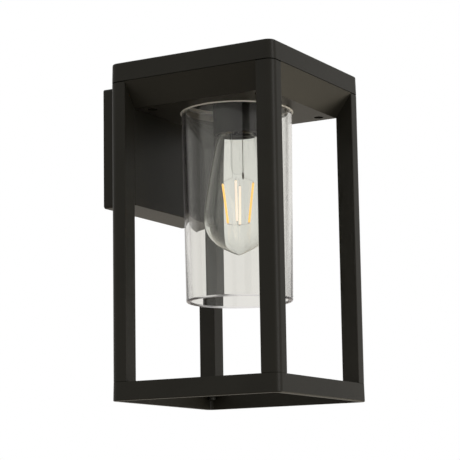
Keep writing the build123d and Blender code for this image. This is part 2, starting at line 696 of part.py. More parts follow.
with BuildPart() as lampholder_shell:
    with BuildSketch(section()):
        with BuildLine():
            Polyline(
                (SHELL_RADIUS, HOLDER_Z + SHELL_INSET),
                (HOLDER_BORE - FIT_GAP, HOLDER_Z + SHELL_INSET),
                (HOLDER_BORE - FIT_GAP, HOLDER_FLOOR_Z),
                (SHELL_RADIUS, HOLDER_FLOOR_Z),
                close=True,
            )
        make_face()
        for turn in range(SHELL_GROOVES):
            with Locations((SHELL_RADIUS, HOLDER_Z + SHELL_INSET + (turn + 0.5) * THREAD_PITCH)):
                Circle(GROOVE_RADIUS, mode=Mode.SUBTRACT)
    revolve(axis=LANTERN_AXIS)
save(lampholder_shell.part, "lampholder_shell")

with BuildPart() as lampholder_contact:
    with BuildSketch(section()):
        with BuildLine():
            Polyline(
                (0, CONTACT_Z + SEAL_CLEARANCE),
                (SPRING_RADIUS / 2, CONTACT_Z + SEAL_CLEARANCE),
                (SPRING_RADIUS, HOLDER_FLOOR_Z - SPRING_STEEL),
                (SPRING_RADIUS, HOLDER_FLOOR_Z),
                (0, HOLDER_FLOOR_Z),
                close=True,
            )
        make_face()
    revolve(axis=LANTERN_AXIS)
save(lampholder_contact.part, "lampholder_contact")

with BuildPart() as lampholder_terminals:
    with BuildSketch(level(HOLDER_TOP_Z)):
        with GridLocations(2 * TERMINAL_X, 1, 2, 1):
            Rectangle(TERMINAL_WIDTH, TERMINAL_DEPTH)
    extrude(amount=TERMINAL_HEIGHT)
    with BuildSketch(upright(CENTRE_Y + TERMINAL_DEPTH / 2, z=HOLDER_WIRE_Z)):
        with GridLocations(2 * TERMINAL_X, 1, 2, 1):
            Circle(WIRE_RADIUS + 2 * FIT_GAP)
    extrude(amount=WIRE_INSERT + FIT_GAP, mode=Mode.SUBTRACT)
save(lampholder_terminals.part, "lampholder_terminals")

with BuildPart() as lampholder_strap:
    with BuildSketch(upright(CENTRE_Y + STRAP_WIDTH / 2)):
        with BuildLine():
            Polyline(
                (STRAP_HALF + STRAP_FOOT, WELL_ROOF_Z),
                (STRAP_HALF - STRAP_STEEL, WELL_ROOF_Z),
                (STRAP_HALF - STRAP_STEEL, HOLDER_BOSS_Z),
                (STRAP_STEEL - STRAP_HALF, HOLDER_BOSS_Z),
                (STRAP_STEEL - STRAP_HALF, WELL_ROOF_Z),
                (-STRAP_HALF - STRAP_FOOT, WELL_ROOF_Z),
                (-STRAP_HALF - STRAP_FOOT, WELL_ROOF_Z + STRAP_STEEL),
                (-STRAP_HALF, WELL_ROOF_Z + STRAP_STEEL),
                (-STRAP_HALF, STRAP_TOP_Z),
                (STRAP_HALF, STRAP_TOP_Z),
                (STRAP_HALF, WELL_ROOF_Z + STRAP_STEEL),
                (STRAP_HALF + STRAP_FOOT, WELL_ROOF_Z + STRAP_STEEL),
                close=True,
            )
        make_face()
    extrude(amount=STRAP_WIDTH)
    with BuildSketch(level(STRAP_TOP_Z)):
        Circle(CLEARANCE_HOLE)
    extrude(amount=-STRAP_STEEL, mode=Mode.SUBTRACT)
    with BuildSketch(level(WELL_ROOF_Z)):
        with GridLocations(2 * STRAP_SCREW_X, 1, 2, 1):
            Circle(CLEARANCE_HOLE)
    extrude(amount=STRAP_STEEL, mode=Mode.SUBTRACT)
save(lampholder_strap.part, "lampholder_strap")


# ---------------------------------------------------------------------------------------------------
# Lamp
# ---------------------------------------------------------------------------------------------------

# Half outline of the envelope as (radius, height), from the pointed tip up to the neck
ENVELOPE = (
    (9.0, -96.6),
    (19.5, -90.6),
    (27.5, -82.5),
    (31.6, -73.0),
    (32.0, -64.0),
    (30.6, -52.0),
    (27.3, -33.0),
    (23.1, -12.0),
    (19.3, 5.0),
    (17.6, 10.5),
    (13.8, 13.6),
)
TIP_DIRECTION = (1, 0.12)
RIM_DIRECTION = (-0.45, 1)


def envelope_line(wall):
    """The envelope's half outline, moved in by the wall thickness, closed along the lamp's axis."""
    rim = (CAP_CREST - 2 * CAP_STEEL - wall, CAP_RIM_Z)
    tip = (0, BULB_TIP_Z + wall)
    points = [(radius - wall, z + (wall if z < ENVELOPE_SHOULDER_Z else 0)) for radius, z in ENVELOPE]
    Spline(tip, *points, rim, tangents=(TIP_DIRECTION, RIM_DIRECTION))
    Polyline(rim, (0, CAP_RIM_Z), tip)


with BuildPart() as bulb_glass:
    with BuildSketch(section()):
        with BuildLine():
            envelope_line(0)
        make_face()
    revolve(axis=LANTERN_AXIS)
    with BuildSketch(section()):
        with BuildLine():
            envelope_line(BULB_GLASS_WALL)
        make_face()
    revolve(axis=LANTERN_AXIS, mode=Mode.SUBTRACT)
save(bulb_glass.part, "bulb_glass")

with BuildPart() as bulb_cap:
    with BuildSketch(section()):
        with BuildLine():
            Polyline(
                (CAP_CREST - CAP_STEEL, CAP_RIM_Z),
                (CAP_CREST, CAP_RIM_Z),
                (CAP_CREST, CAP_SHOULDER_Z - CAP_BEVEL),
                (CAP_CREST - CAP_BEVEL, CAP_SHOULDER_Z),
                (CAP_NECK, CAP_SHOULDER_Z),
                (CAP_NECK, CAP_SHOULDER_Z - CAP_STEEL),
                (CAP_CORE - CAP_STEEL, CAP_SHOULDER_Z - CAP_STEP),
                (CAP_CORE - CAP_STEEL, CAP_RIM_Z + CAP_STEP),
                (CAP_CREST - CAP_STEEL, CAP_RIM_Z + CAP_RIM),
                close=True,
            )
        make_face()
        for turn in range(CAP_THREADS):
            groove_z = CAP_RIM_Z + CAP_THREAD_RISE + turn * THREAD_PITCH
            with Locations((CAP_CREST + CAP_GROOVE_SHIFT, groove_z)):
                Circle(CAP_GROOVE, mode=Mode.SUBTRACT)
    revolve(axis=LANTERN_AXIS)
save(bulb_cap.part, "bulb_cap")

with BuildPart() as bulb_cap_insulator:
    with BuildSketch(level(CAP_SHOULDER_Z)):
        Circle(CAP_NECK)
    with BuildSketch(level(CONTACT_Z - CAP_CONTACT_HEIGHT)):
        Circle(INSULATOR_TIP)
    loft()
save(bulb_cap_insulator.part, "bulb_cap_insulator")

with BuildPart() as bulb_cap_contact:
    with BuildSketch(level(CONTACT_Z - CAP_CONTACT_HEIGHT)):
        Circle(CAP_CONTACT_RADIUS)
    extrude(amount=CAP_CONTACT_HEIGHT)
    fillet(bulb_cap_contact.edges().group_by(Axis.Z)[-1], CAP_CONTACT_EDGE)
save(bulb_cap_contact.part, "bulb_cap_contact")

with BuildPart() as bulb_stem:
    with BuildSketch(section()):
        with BuildLine():
            Polyline(
                (STEM_RADIUS, STEM_FOOT_Z - STEM_FLARE),
                (STEM_FLANGE, STEM_FOOT_Z),
                (STEM_FLANGE - STEM_WALL, STEM_FOOT_Z),
                (STEM_RADIUS - STEM_WALL, STEM_FOOT_Z - STEM_FLARE),
                (STEM_RADIUS - STEM_WALL, STEM_Z + STEM_RADIUS),
                (STEM_WALL, STEM_Z + STEM_RADIUS / 2),
                (0, STEM_Z + STEM_RADIUS / 2),
                (0, STEM_Z),
                (STEM_RADIUS / 2, STEM_Z),
                (STEM_RADIUS, STEM_Z + STEM_RADIUS / 2),
                close=True,
            )
        make_face()
    revolve(axis=LANTERN_AXIS)
save(bulb_stem.part, "bulb_stem")


def cage_point(index, radius, z):
    """A point of the filament cage: four sides, turned about the lamp's axis."""
    turn = radians(90 * index - CAGE_TURN)
    return Vector(radius * cos(turn), CENTRE_Y + radius * sin(turn), z)


with BuildPart() as filaments:
    for index in range(4):
        top = cage_point(index, *FILAMENT_TOP)
        bottom = cage_point(index, *FILAMENT_BOTTOM)
        with BuildSketch(Plane(origin=top, z_dir=bottom - top)):
            Circle(FILAMENT_RADIUS)
        extrude(amount=(bottom - top).length)
save(filaments.part, "filaments")

# Wires that carry the filaments: arms from the stem to their tops, a cross that joins their feet, and
# the two lead wires inside the stem
with BuildPart() as filament_wires:
    for index in range(4):
        foot_z = FILAMENT_BOTTOM[1] - 2 * ARM_RADIUS
        arm_tip = cage_point(index, FILAMENT_TOP[0], FILAMENT_TOP[1] + ARM_RADIUS)
        arm = (cage_point(index, LEAD_X, ARM_Z), arm_tip)
        foot = (cage_point(index, 0, foot_z), cage_point(index, FILAMENT_BOTTOM[0], foot_z))
        for start, end in (arm, foot):
            with BuildSketch(Plane(origin=start, z_dir=end - start)):
                Circle(ARM_RADIUS)
            extrude(amount=(end - start).length)
    for index in (0, 2):
        lead_top = cage_point(index, LEAD_X, STEM_FOOT_Z)
        with BuildSketch(Plane(origin=lead_top, z_dir=(0, 0, -1))):
            Circle(LEAD_RADIUS)
        extrude(amount=STEM_FOOT_Z - STEM_Z - STEM_RADIUS)
save(filament_wires.part, "filament_wires")

# ---------------------------------------------------------------------------------------------------
# Wiring inside the wall box and the tray
# ---------------------------------------------------------------------------------------------------

with BuildPart() as terminal_block:
    block_face = upright(BOX_INNER_Y + BLOCK_DEPTH, z=BLOCK_Z)
    with BuildSketch(block_face):
        RectangleRounded(BLOCK_WIDTH, BLOCK_HEIGHT, BLOCK_CORNER)
    extrude(amount=BLOCK_DEPTH)
    with BuildSketch(block_face):
        with GridLocations(POLE_PITCH, POLE_SCREW_RISE, 3, 2):
            Circle(POLE_SCREW + FIT_GAP)
    extrude(amount=BOX_INNER_Y + BLOCK_DEPTH - CLAMP_Y, mode=Mode.SUBTRACT)
    with BuildSketch(Plane(origin=(0, CLAMP_Y, BLOCK_Z - BLOCK_HEIGHT / 2))):
        with GridLocations(POLE_PITCH, 1, 3, 1):
            Rectangle(CLAMP, CLAMP)
    extrude(amount=BLOCK_HEIGHT, mode=Mode.SUBTRACT)
    with BuildSketch(block_face):
        with GridLocations(POLE_PITCH, 1, 2, 1):
            Circle(BLOCK_SCREW + FIT_GAP)
    extrude(amount=BLOCK_DEPTH, mode=Mode.SUBTRACT)
save(terminal_block.part, "terminal_block")

with BuildPart() as terminal_block_screws:
    with BuildSketch(block_face):
        with GridLocations(POLE_PITCH, 1, 2, 1):
            Circle(BLOCK_SCREW)
    extrude(amount=BLOCK_DEPTH + BLOCK_SCREW_DEPTH - FIT_GAP)
    with BuildSketch(block_face):
        with GridLocations(POLE_PITCH, 1, 2, 1):
            Circle(BLOCK_SCREW_HEAD)
    extrude(amount=-BLOCK_SCREW)
save(terminal_block_screws.part, "terminal_block_screws")

with BuildPart() as terminal_clamps:
    with BuildSketch(Plane(origin=(0, CLAMP_Y, BLOCK_Z - CLAMP_LENGTH / 2))):
        with GridLocations(POLE_PITCH, 1, 3, 1):
            Rectangle(CLAMP, CLAMP)
            Circle(WIRE_RADIUS + 2 * FIT_GAP, mode=Mode.SUBTRACT)
    extrude(amount=CLAMP_LENGTH)
save(terminal_clamps.part, "terminal_clamps")

with BuildPart() as terminal_screws:
    screw_tops = upright(CLAMP_Y + CLAMP, z=BLOCK_Z)
    with BuildSketch(screw_tops):
        with GridLocations(POLE_PITCH, POLE_SCREW_RISE, 3, 2):
            Circle(POLE_SCREW)
    extrude(amount=CLAMP / 2)
    with BuildSketch(screw_tops):
        with GridLocations(POLE_PITCH, POLE_SCREW_RISE, 3, 2):
            Rectangle(*POLE_SLOT)
    extrude(amount=POLE_SCREW / 2, mode=Mode.SUBTRACT)
save(terminal_screws.part, "terminal_screws")

with BuildPart() as earth_stud:
    with BuildSketch(upright(BOX_INNER_Y, x=EARTH_X, z=BLOCK_Z)):
        Circle(SHANK)
    extrude(amount=-STUD_LENGTH)
save(earth_stud.part, "earth_stud")

with BuildPart() as earth_nut:
    with BuildSketch(upright(BOX_INNER_Y + LUG_STEEL + HEAD_HEIGHT, x=EARTH_X, z=BLOCK_Z)):
        RegularPolygon(radius=LUG_RADIUS, side_count=6)
        Circle(SHANK + FIT_GAP, mode=Mode.SUBTRACT)
    extrude(amount=HEAD_HEIGHT)
save(earth_nut.part, "earth_nut")

with BuildPart() as earth_lug:
    with BuildSketch(upright(BOX_INNER_Y + LUG_STEEL, x=EARTH_X, z=BLOCK_Z)):
        Circle(LUG_RADIUS)
        with Locations((0, LUG_REACH / 2)):
            Rectangle(LUG_TAB, LUG_REACH)
        Circle(SHANK + FIT_GAP, mode=Mode.SUBTRACT)
    extrude(amount=LUG_STEEL)
save(earth_lug.part, "earth_lug")

with BuildPart() as entry_grommet:
    for lip_y in (BOX_INNER_Y + GROMMET_LIP, BOX_FRONT_Y - TRAY_WALL):
        with BuildSketch(upright(lip_y, z=ENTRY_Z)):
            Circle(GROMMET_FLANGE)
        extrude(amount=GROMMET_LIP)
    with BuildSketch(upright(BOX_INNER_Y, z=ENTRY_Z)):
        Circle(ENTRY_RADIUS - FIT_GAP)
    extrude(amount=BOX_WALL + TRAY_WALL)
    with BuildSketch(upright(BOX_INNER_Y + GROMMET_LIP, z=ENTRY_Z)):
        SlotOverall(*GROMMET_SLOT)
    extrude(amount=BOX_WALL + TRAY_WALL + 2 * GROMMET_LIP, mode=Mode.SUBTRACT)
save(entry_grommet.part, "entry_grommet")


def lamp_wire_route(side, pole_x):
    """Corner points of a wire from a pole of the block, through the grommet, to the lampholder."""
    return [
        (pole_x, CLAMP_Y, CLAMP_MOUTH_Z),
        (pole_x, CLAMP_Y, LAMP_WIRE_STRAIGHT_Z),
        (side * GROMMET_WIRE_X, RISER_Y, RISER_FOOT_Z),
        (side * GROMMET_WIRE_X, RISER_Y, ENTRY_Z),
        (side * GROMMET_WIRE_X, BOX_FRONT_Y - ENTRY_LEAD, ENTRY_Z),
        (side * TERMINAL_X, CENTRE_Y + HOLDER_LEAD, HOLDER_WIRE_Z),
        (side * TERMINAL_X, CENTRE_Y + TERMINAL_DEPTH / 2 - WIRE_INSERT, HOLDER_WIRE_Z),
    ]


# name: (corner points, radius of the arc at each corner)
WIRES = {
    "live_wire": (lamp_wire_route(-1, -POLE_PITCH), LAMP_WIRE_BENDS),
    "neutral_wire": (lamp_wire_route(1, 0.0), LAMP_WIRE_BENDS),
    "earth_wire": (
        [
            (POLE_PITCH, CLAMP_Y, CLAMP_MOUTH_Z),
            (POLE_PITCH, CLAMP_Y, EARTH_WIRE_STRAIGHT_Z),
            (EARTH_X - LUG_REACH, EARTH_WIRE_Y, EARTH_WIRE_CREST_Z),
            (EARTH_X, EARTH_WIRE_Y, EARTH_WIRE_STRAIGHT_Z),
            (EARTH_X, EARTH_WIRE_Y, BLOCK_Z + LUG_RADIUS + LUG_STEEL),
        ],
        EARTH_WIRE_BENDS,
    ),
}
for wire_name, (route, radii) in WIRES.items():
    with BuildPart() as wire:
        with BuildLine() as path:
            FilletPolyline(*route, radius=radii)
        centre_line = path.wires()[0]
        with BuildSketch(Plane(origin=centre_line @ 0, z_dir=centre_line % 0)):
            Circle(WIRE_RADIUS)
        sweep()
    swept = wire.part.volume / (centre_line.length * pi * WIRE_RADIUS**2)
    print(wire_name, "length", round(centre_line.length, 1), "radii", radii, "volume ratio", round(swept, 4))
    save(wire.part, wire_name)
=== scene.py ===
import json
import math

import bpy
from mathutils import Matrix, Vector


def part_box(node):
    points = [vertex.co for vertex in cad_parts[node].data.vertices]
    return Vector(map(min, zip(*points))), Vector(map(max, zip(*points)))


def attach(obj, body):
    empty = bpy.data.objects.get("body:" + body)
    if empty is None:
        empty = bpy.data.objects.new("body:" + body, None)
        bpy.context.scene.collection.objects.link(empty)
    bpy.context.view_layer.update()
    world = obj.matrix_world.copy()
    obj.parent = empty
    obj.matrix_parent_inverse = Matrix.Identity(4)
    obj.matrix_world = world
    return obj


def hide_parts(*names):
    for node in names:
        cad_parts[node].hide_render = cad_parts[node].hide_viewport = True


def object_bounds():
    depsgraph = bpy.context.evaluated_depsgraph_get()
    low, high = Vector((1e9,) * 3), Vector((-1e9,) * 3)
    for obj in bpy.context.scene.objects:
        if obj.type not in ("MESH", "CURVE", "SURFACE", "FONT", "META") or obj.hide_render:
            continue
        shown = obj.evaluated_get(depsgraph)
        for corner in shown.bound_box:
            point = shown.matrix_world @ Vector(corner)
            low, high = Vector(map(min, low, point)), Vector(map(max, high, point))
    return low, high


# Looks of the outdoor wall lantern, in metres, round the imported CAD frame. X runs along the wall, +Y
# points into the wall and +Z is up.

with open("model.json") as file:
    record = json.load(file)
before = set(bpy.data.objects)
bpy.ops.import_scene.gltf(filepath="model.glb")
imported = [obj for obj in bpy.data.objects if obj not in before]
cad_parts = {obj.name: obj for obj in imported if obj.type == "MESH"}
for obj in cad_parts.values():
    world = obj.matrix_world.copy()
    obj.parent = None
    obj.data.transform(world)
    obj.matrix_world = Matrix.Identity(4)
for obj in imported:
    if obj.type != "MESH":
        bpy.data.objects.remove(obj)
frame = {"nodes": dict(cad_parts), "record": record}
cad_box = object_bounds()

MM = 0.001
SEGMENTS = 128
GLASS_LOW, GLASS_HIGH = (Vector(corner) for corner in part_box("glass_tube"))
COVER_LOW, COVER_HIGH = (Vector(corner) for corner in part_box("socket_cover"))
SEAL_LOW, SEAL_HIGH = (Vector(corner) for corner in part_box("glass_seal"))
CAP_LOW, CAP_HIGH = (Vector(corner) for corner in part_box("bulb_cap"))
AXIS_X = (GLASS_LOW.x + GLASS_HIGH.x) / 2
AXIS_Y = (GLASS_LOW.y + GLASS_HIGH.y) / 2

# ------------------------------------------------------------------------------------------------
# Camera, floor and light
# ------------------------------------------------------------------------------------------------

CAMERA_PLACE = (-1.42597, -0.91190, -0.34582)
CAMERA_YAW = 60.185  # degrees from +Y towards +X
CAMERA_PITCH = 9.312
CAMERA_ROLL = 0.89
CAMERA_LENS = 139.42
CAMERA_SENSOR = 36.0
CAMERA_CLIP = 100.0


def make_camera():
    """The camera stands low on the left of the lantern and looks a little up at it."""
    data = bpy.data.cameras.new("camera")
    data.lens = CAMERA_LENS
    data.sensor_width = CAMERA_SENSOR
    data.clip_end = CAMERA_CLIP
    camera = bpy.data.objects.new("camera", data)
    bpy.context.scene.collection.objects.link(camera)
    turn = Matrix.Rotation(math.radians(-CAMERA_YAW), 4, "Z")
    tilt = Matrix.Rotation(math.radians(90.0 + CAMERA_PITCH), 4, "X")
    roll = Matrix.Rotation(math.radians(-CAMERA_ROLL), 4, "Z")
    camera.matrix_world = Matrix.Translation(CAMERA_PLACE) @ turn @ tilt @ roll
    bpy.context.scene.camera = camera


FLOOR_DROP = 1.1
FLOOR_HALF = 12.0
FLOOR_COLOUR = (0.72, 0.66, 0.56, 1.0)
FLOOR_ROUGHNESS = 0.9


def make_floor():
    """A plain pale floor, well below the hanging lantern."""
    height = cad_box[0][2] - FLOOR_DROP
    corners = [
        (-FLOOR_HALF, -FLOOR_HALF),
        (FLOOR_HALF, -FLOOR_HALF),
        (FLOOR_HALF, FLOOR_HALF),
        (-FLOOR_HALF, FLOOR_HALF),
    ]
    mesh = bpy.data.meshes.new("floor")
    mesh.from_pydata([(x, y, height) for x, y in corners], [], [(0, 1, 2, 3)])
    floor = bpy.data.objects.new("floor", mesh)
    bpy.context.scene.collection.objects.link(floor)
    material = bpy.data.materials.new("floor")
    material.use_nodes = True
    shader = material.node_tree.nodes["Principled BSDF"]
    shader.inputs["Base Color"].default_value = FLOOR_COLOUR
    shader.inputs["Roughness"].default_value = FLOOR_ROUGHNESS
    mesh.materials.append(material)


def make_softbox(name, place, target, width, height, power, colour):
    """A rectangular area light aimed at a point of the lantern."""
    data = bpy.data.lights.new(name, "AREA")
    data.shape = "RECTANGLE"
    data.size = width
    data.size_y = height
    data.energy = power
    data.color = colour
    light = bpy.data.objects.new(name, data)
    bpy.context.scene.collection.objects.link(light)
    aim = Vector(target) - Vector(place)
    light.matrix_world = Matrix.Translation(place) @ aim.to_track_quat("-Z", "Y").to_matrix().to_4x4()
    # A softbox isn't part of the room, so it doesn't show through the glass
    light.visible_transmission = False


WORLD_COLOUR = (0.60, 0.59, 0.57)
WORLD_LOBES = (
    # direction, colour at its middle, cosine where it starts and where it is full
    ((0.87, 0.49, 0.0), (0.80, 0.785, 0.755), 0.35, 0.95),
    ((-0.87, 0.5, 0.0), (0.76, 0.75, 0.70), 0.45, 0.95),
    ((0.0, 0.0, 1.0), (0.75, 0.76, 0.78), 0.3, 0.95),
)


def make_world():
    """A soft pale room, brighter behind the lantern and above it."""
    world = bpy.data.worlds.new("studio")
    bpy.context.scene.world = world
    world.use_nodes = True
    nodes = world.node_tree.nodes
    links = world.node_tree.links
    background = nodes["Background"]
    direction = nodes.new("ShaderNodeTexCoord").outputs["Generated"]
    colour = None
    for axis, lobe_colour, start, full in WORLD_LOBES:
        along = nodes.new("ShaderNodeVectorMath")
        along.operation = "DOT_PRODUCT"
        links.new(direction, along.inputs[0])
        along.inputs[1].default_value = axis
        share = nodes.new("ShaderNodeMapRange")
        share.interpolation_type = "SMOOTHSTEP"
        share.inputs["From Min"].default_value = start
        share.inputs["From Max"].default_value = full
        links.new(along.outputs["Value"], share.inputs["Value"])
        mix = nodes.new("ShaderNodeMix")
        mix.data_type = "RGBA"
        links.new(share.outputs["Result"], mix.inputs["Factor"])
        if colour is None:
            mix.inputs["A"].default_value = (*WORLD_COLOUR, 1.0)
        else:
            links.new(colour, mix.inputs["A"])
        mix.inputs["B"].default_value = (*lobe_colour, 1.0)
        colour = mix.outputs["Result"]
    links.new(colour, background.inputs["Color"])
    # Seen straight on, the room behind is plain white
    backdrop = nodes.new("ShaderNodeBackground")
    backdrop.inputs["Color"].default_value = (1.0, 1.0, 1.0, 1.0)
    rays = nodes.new("ShaderNodeLightPath")
    choose = nodes.new("ShaderNodeMixShader")
    links.new(rays.outputs["Is Camera Ray"], choose.inputs["Fac"])
    links.new(background.outputs["Background"], choose.inputs[1])
    links.new(backdrop.outputs["Background"], choose.inputs[2])
    links.new(choose.outputs["Shader"], nodes["World Output"].inputs["Surface"])


# ------------------------------------------------------------------------------------------------
# Materials
# ------------------------------------------------------------------------------------------------


class Surface:
    """A node material under construction: a Principled shader and helpers that feed its sockets."""

    def __init__(self, name):
        self.material = bpy.data.materials.new(name)
        self.material.use_nodes = True
        self.nodes = self.material.node_tree.nodes
        self.links = self.material.node_tree.links
        self.shader = self.nodes["Principled BSDF"]
        self.place = self.nodes.new("ShaderNodeTexCoord").outputs["Object"]

    def set(self, **values):
        """Constant values, by socket name with underscores for spaces."""
        for key, value in values.items():
            self.shader.inputs[key.replace("_", " ")].default_value = value
        return self

    def noise(self, size, detail=3.0, stretch=(1.0, 1.0, 1.0), roughness=0.55):
        """A noise whose features are about size metres, stretched along the axes."""
        mapping = self.nodes.new("ShaderNodeMapping")
        mapping.inputs["Scale"].default_value = [1.0 / part for part in stretch]
        self.links.new(self.place, mapping.inputs["Vector"])
        texture = self.nodes.new("ShaderNodeTexNoise")
        texture.inputs["Scale"].default_value = 1.0 / size
        texture.inputs["Detail"].default_value = detail
        texture.inputs["Roughness"].default_value = roughness
        self.links.new(mapping.outputs["Vector"], texture.inputs["Vector"])
        return texture.outputs["Fac"]

    def spread(self, value, low, high, from_low=0.3, from_high=0.7):
        """Maps a noise onto the range low to high."""
        node = self.nodes.new("ShaderNodeMapRange")
        node.inputs["From Min"].default_value = from_low
        node.inputs["From Max"].default_value = from_high
        node.inputs["To Min"].default_value = low
        node.inputs["To Max"].default_value = high
        self.links.new(value, node.inputs["Value"])
        return node.outputs["Result"]

    def colour(self, value, dark, light, low=0.3, high=0.7):
        """Base colour that runs from dark to light with a noise."""
        ramp = self.nodes.new("ShaderNodeValToRGB")
        ramp.color_ramp.elements[0].position = low
        ramp.color_ramp.elements[0].color = (*dark, 1.0)
        ramp.color_ramp.elements[1].position = high
        ramp.color_ramp.elements[1].color = (*light, 1.0)
        self.links.new(value, ramp.inputs["Fac"])
        self.links.new(ramp.outputs["Color"], self.shader.inputs["Base Color"])
        return self

    def rough(self, value, low, high):
        """Roughness that runs from low to high with a noise."""
        self.links.new(self.spread(value, low, high), self.shader.inputs["Roughness"])
        return self

    def bump(self, *layers):
        """Bump layers, each (noise, height in metres)."""
        normal = None
        for value, height in layers:
            node = self.nodes.new("ShaderNodeBump")
            node.inputs["Strength"].default_value = 1.0
            node.inputs["Distance"].default_value = height
            self.links.new(value, node.inputs["Height"])
            if normal is not None:
                self.links.new(normal, node.inputs["Normal"])
            normal = node.outputs["Normal"]
        self.links.new(normal, self.shader.inputs["Normal"])
        return self


def powder_coat():
    """Matt warm-black powder coat: a fine sanded grain, slight orange peel and faint unevenness."""
    surface = Surface("powder_coat")
    grain = surface.noise(0.00045, detail=2.0)
    peel = surface.noise(0.0032, detail=1.0)
    cloud = surface.noise(0.055, detail=4.0)
    surface.colour(cloud, (0.0125, 0.0117, 0.0090), (0.0158, 0.0148, 0.0116))
    surface.rough(grain, 0.32, 0.42)
    surface.bump((peel, 0.00004), (grain, 0.00003))
    surface.set(Specular_IOR_Level=0.16)
    return surface.material


def cover_plastic():
    """Satin black moulded cover round the lampholder."""
    surface = Surface("cover_plastic")
    grain = surface.noise(0.0007, detail=2.0)
    surface.colour(surface.noise(0.02), (0.010, 0.0096, 0.0086), (0.013, 0.0124, 0.0112))
    surface.rough(grain, 0.5, 0.62)
    surface.bump((grain, 0.00002))
    return surface.material


def clear_glass(name, tint, wave=0.0, roughness=0.0, ior=1.52, haze=0.0, haze_tint=(1.0, 1.0, 1.0)):
    """Clear glass. wave is the height of a blown bulb's ripple, haze the pale bloom along the edges."""
    surface = Surface(name)
    surface.set(Base_Color=(*tint, 1.0), Transmission_Weight=1.0, IOR=ior, Roughness=roughness)
    surface.set(Sheen_Weight=haze, Sheen_Roughness=0.35, Sheen_Tint=(*haze_tint, 1.0))
    if wave:
        ripple = surface.noise(0.018, detail=1.0, stretch=(1.0, 1.0, 12.0))
        surface.bump((ripple, wave))
    return surface.material


def silicone(name, colour, scatter):
    """Translucent silicone rubber with a slightly dusty skin."""
    surface = Surface(name)
    skin = surface.noise(0.0015, detail=3.0)
    surface.colour(skin, tuple(0.93 * part for part in colour), colour)
    surface.rough(skin, 0.42, 0.55)
    surface.bump((skin, 0.00002))
    surface.set(Subsurface_Weight=scatter, Subsurface_Radius=(0.004, 0.004, 0.004), Subsurface_Scale=1.0)
    return surface.material


def bare_metal(name, dark, light, roughness, grain_size, stretch=(1.0, 1.0, 1.0), metallic=1.0):
    """Plain metal: rolled, plated or turned, with fine streaks along one direction."""
    surface = Surface(name)
    streaks = surface.noise(grain_size, detail=4.0, stretch=stretch)
    surface.colour(streaks, dark, light)
    surface.rough(streaks, roughness - 0.08, roughness + 0.1)
    surface.bump((streaks, 0.00001))
    surface.set(Metallic=metallic)
    return surface.material


def moulded(name, dark, light, roughness=0.4, coat=0.0):
    """Moulded plastic or glazed ceramic with a faint texture."""
    surface = Surface(name)
    skin = surface.noise(0.001, detail=2.0)
    surface.colour(surface.noise(0.012), dark, light)
    surface.rough(skin, roughness - 0.05, roughness + 0.08)
    surface.bump((skin, 0.000015))
    surface.set(Coat_Weight=coat, Coat_Roughness=0.08)
    return surface.material


def glowing_filament(name, dark, light, glow, strength):
    """Phosphor-coated LED filament: a skin that glows a little, in a faintly beaded row."""
    surface = Surface(name)
    beads = surface.nodes.new("ShaderNodeTexWave")
    beads.bands_direction = "Z"
    beads.inputs["Scale"].default_value = 95.0
    beads.inputs["Distortion"].default_value = 0.0
    surface.links.new(surface.place, beads.inputs["Vector"])
    surface.colour(beads.outputs["Fac"], dark, light, 0.0, 1.0)
    surface.set(Roughness=0.5, Emission_Color=(*glow, 1.0), Emission_Strength=strength)
    return surface.material


# ------------------------------------------------------------------------------------------------
# Mesh helpers
# ------------------------------------------------------------------------------------------------


def rounded(corners, radius_of, steps=5):
    """A polyline with chosen corners turned into arcs. radius_of maps a corner's index to its radius."""
    points = []
    for index, corner in enumerate(corners):
        radius = radius_of.get(index, 0.0)
        here = Vector(corner)
        if radius == 0.0:
            points.append(tuple(here))
            continue
        before = (Vector(corners[index - 1]) - here).normalized()
        after = (Vector(corners[(index + 1) % len(corners)]) - here).normalized()
        half = before.angle(after) / 2
        centre = here + (before + after).normalized() * (radius / math.sin(half))
        first = here + before * (radius / math.tan(half)) - centre
        last = here + after * (radius / math.tan(half)) - centre
        sweep = first.angle(last)
        for step in range(steps + 1):
            share = step / steps
            blend = math.sin((1 - share) * sweep) * first + math.sin(share * sweep) * last
            blend = blend / math.sin(sweep)
            points.append(tuple(centre + blend))
    return points


def add_mesh(name, vertices, faces, material, smooth_angle=40.0):
    """A new mesh object with smooth shading broken at sharp edges."""
    mesh = bpy.data.meshes.new(name)
    mesh.from_pydata(vertices, [], faces)
    mesh.validate()
    mesh.update()
    for polygon in mesh.polygons:
        polygon.use_smooth = True
    mesh.set_sharp_from_angle(angle=math.radians(smooth_angle))
    mesh.materials.append(material)
    piece = bpy.data.objects.new(name, mesh)
    bpy.context.scene.collection.objects.link(piece)
    return piece


def lathe(name, profile, material, closed=True, segments=SEGMENTS, smooth_angle=40.0):
    """Turns a (radius, height) profile about the lantern's axis. A point on the axis makes one vertex."""
    vertices = []
    rings = []
    for radius, height in profile:
        if radius < 1e-6:
            rings.append([len(vertices)] * segments)
            vertices.append((AXIS_X, AXIS_Y, height))
            continue
        rings.append(list(range(len(vertices), len(vertices) + segments)))
        for step in range(segments):
            turn = 2 * math.pi * step / segments
            vertices.append((AXIS_X + radius * math.cos(turn), AXIS_Y + radius * math.sin(turn), height))
    faces = []
    pairs = list(zip(rings, rings[1:])) + ([(rings[-1], rings[0])] if closed else [])
    for lower, upper in pairs:
        for step in range(segments):
            after = (step + 1) % segments
            face = [lower[step], lower[after], upper[after], upper[step]]
            face = [corner for place, corner in enumerate(face) if corner not in face[:place]]
            if len(face) > 2:
                faces.append(face)
    return add_mesh(name, vertices, faces, material, smooth_angle)


